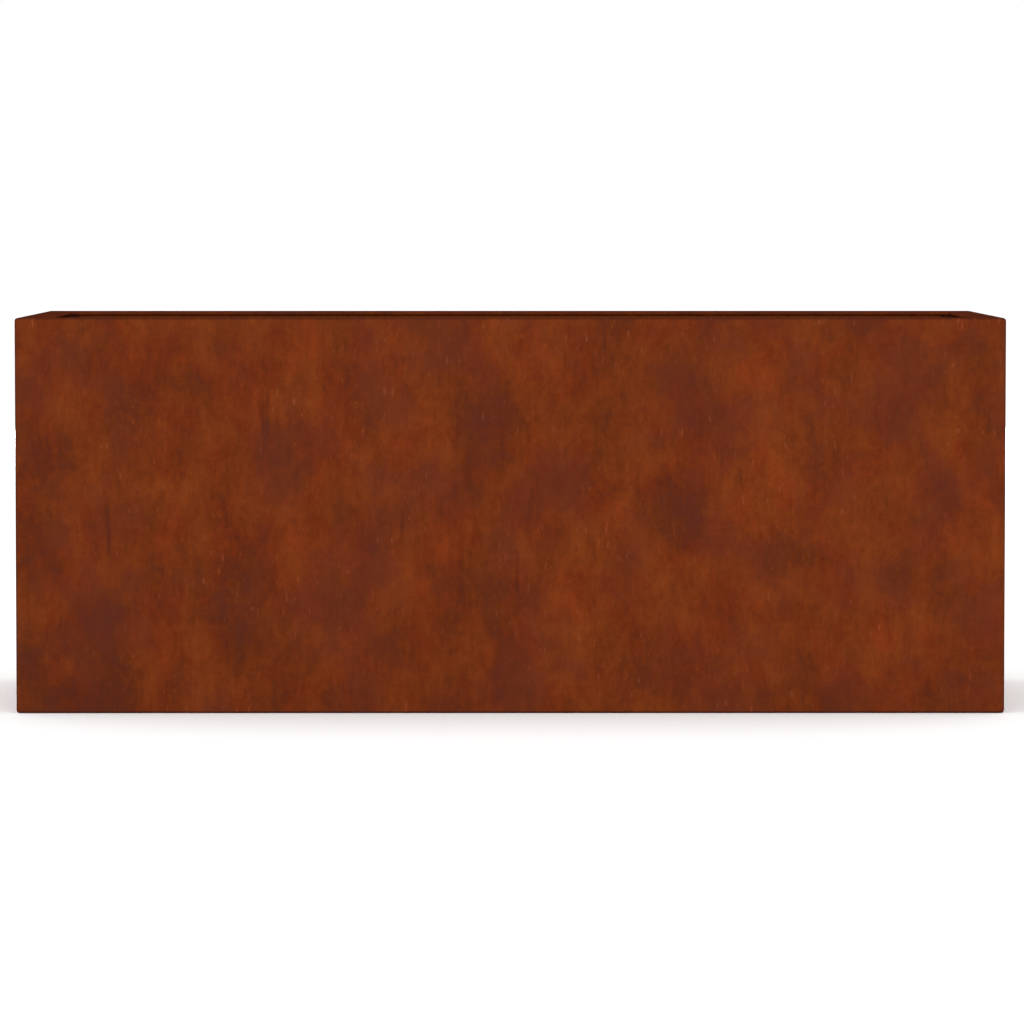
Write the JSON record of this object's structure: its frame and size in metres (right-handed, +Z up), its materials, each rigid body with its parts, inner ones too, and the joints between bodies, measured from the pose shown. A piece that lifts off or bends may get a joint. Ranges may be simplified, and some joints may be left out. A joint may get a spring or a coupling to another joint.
{
  "type": "planter box",
  "caption": "Long open-topped planter box of folded weathering steel with an inward rim, a drained tray and levelling feet hidden behind its skirt.",
  "frame": {"origin": "centre of the footprint, at the ground", "axes": "+X along the box, -Y towards the front, +Z up"},
  "size_m": [1, 0.4, 0.4],
  "materials": {
    "corten_wall": "weathering steel with a closed, matt red-brown patina",
    "corten_tray": "weathering steel, darker and blotchier where water stands",
    "corten_frame": "weathering steel, matt dark brown patina",
    "stainless_fastener": "stainless steel, dulled outdoors",
    "foot_pad": "matt black moulded rubber"
  },
  "bodies": {
    "box": {"front_panel": "corten_wall", "rear_panel": "corten_wall", "left_panel": "corten_wall", "right_panel": "corten_wall", "front_panel_studs": "stainless_fastener", "rear_panel_studs": "stainless_fastener", "left_panel_studs": "stainless_fastener", "right_panel_studs": "stainless_fastener", "front_left_angle": "corten_frame", "front_right_angle": "corten_frame", "rear_left_angle": "corten_frame", "rear_right_angle": "corten_frame", "front_left_washers": "stainless_fastener", "front_right_washers": "stainless_fastener", "rear_left_washers": "stainless_fastener", "rear_right_washers": "stainless_fastener", "front_left_nuts": "stainless_fastener", "front_right_nuts": "stainless_fastener", "rear_left_nuts": "stainless_fastener", "rear_right_nuts": "stainless_fastener", "cross_brace": "corten_frame", "brace_washers": "stainless_fastener", "brace_nuts": "stainless_fastener", "drain_tray": "corten_tray", "left_runner": "corten_frame", "centre_runner": "corten_frame", "right_runner": "corten_frame", "foot_plates": "corten_frame", "foot_weld_nuts": "stainless_fastener", "foot_jam_nuts": "stainless_fastener"},
    "front_left_pad": {"front_left_foot_pad": "foot_pad"},
    "front_left_spindle": {"front_left_foot_spindle": "stainless_fastener"},
    "front_right_pad": {"front_right_foot_pad": "foot_pad"},
    "front_right_spindle": {"front_right_foot_spindle": "stainless_fastener"},
    "rear_left_pad": {"rear_left_foot_pad": "foot_pad"},
    "rear_left_spindle": {"rear_left_foot_spindle": "stainless_fastener"},
    "rear_right_pad": {"rear_right_foot_pad": "foot_pad"},
    "rear_right_spindle": {"rear_right_foot_spindle": "stainless_fastener"}
  },
  "joints": [
    {"name": "front_left_foot_travel", "type": "slide", "parent": "box", "child": "front_left_pad", "axis": [0, 0, -1], "range_m": [0, 0.015]},
    {"name": "front_left_foot_turn", "type": "hinge", "parent": "front_left_pad", "child": "front_left_spindle", "pos_m": [-0.4, -0.14, 0.02], "axis": [0, 0, -1], "range_deg": [0, 3600]},
    {"name": "front_right_foot_travel", "type": "slide", "parent": "box", "child": "front_right_pad", "axis": [0, 0, -1], "range_m": [0, 0.015]},
    {"name": "front_right_foot_turn", "type": "hinge", "parent": "front_right_pad", "child": "front_right_spindle", "pos_m": [0.4, -0.14, 0.02], "axis": [0, 0, -1], "range_deg": [0, 3600]},
    {"name": "rear_left_foot_travel", "type": "slide", "parent": "box", "child": "rear_left_pad", "axis": [0, 0, -1], "range_m": [0, 0.015]},
    {"name": "rear_left_foot_turn", "type": "hinge", "parent": "rear_left_pad", "child": "rear_left_spindle", "pos_m": [-0.4, 0.14, 0.02], "axis": [0, 0, -1], "range_deg": [0, 3600]},
    {"name": "rear_right_foot_travel", "type": "slide", "parent": "box", "child": "rear_right_pad", "axis": [0, 0, -1], "range_m": [0, 0.015]},
    {"name": "rear_right_foot_turn", "type": "hinge", "parent": "rear_right_pad", "child": "rear_right_spindle", "pos_m": [0.4, 0.14, 0.02], "axis": [0, 0, -1], "range_deg": [0, 3600]}
  ],
  "couplings": [
    {"joint": "front_left_foot_turn", "follows": "front_left_foot_travel", "rad_per_m": 4188.8},
    {"joint": "front_right_foot_turn", "follows": "front_right_foot_travel", "rad_per_m": 4188.8},
    {"joint": "rear_left_foot_turn", "follows": "rear_left_foot_travel", "rad_per_m": 4188.8},
    {"joint": "rear_right_foot_turn", "follows": "rear_right_foot_travel", "rad_per_m": 4188.8}
  ]
}
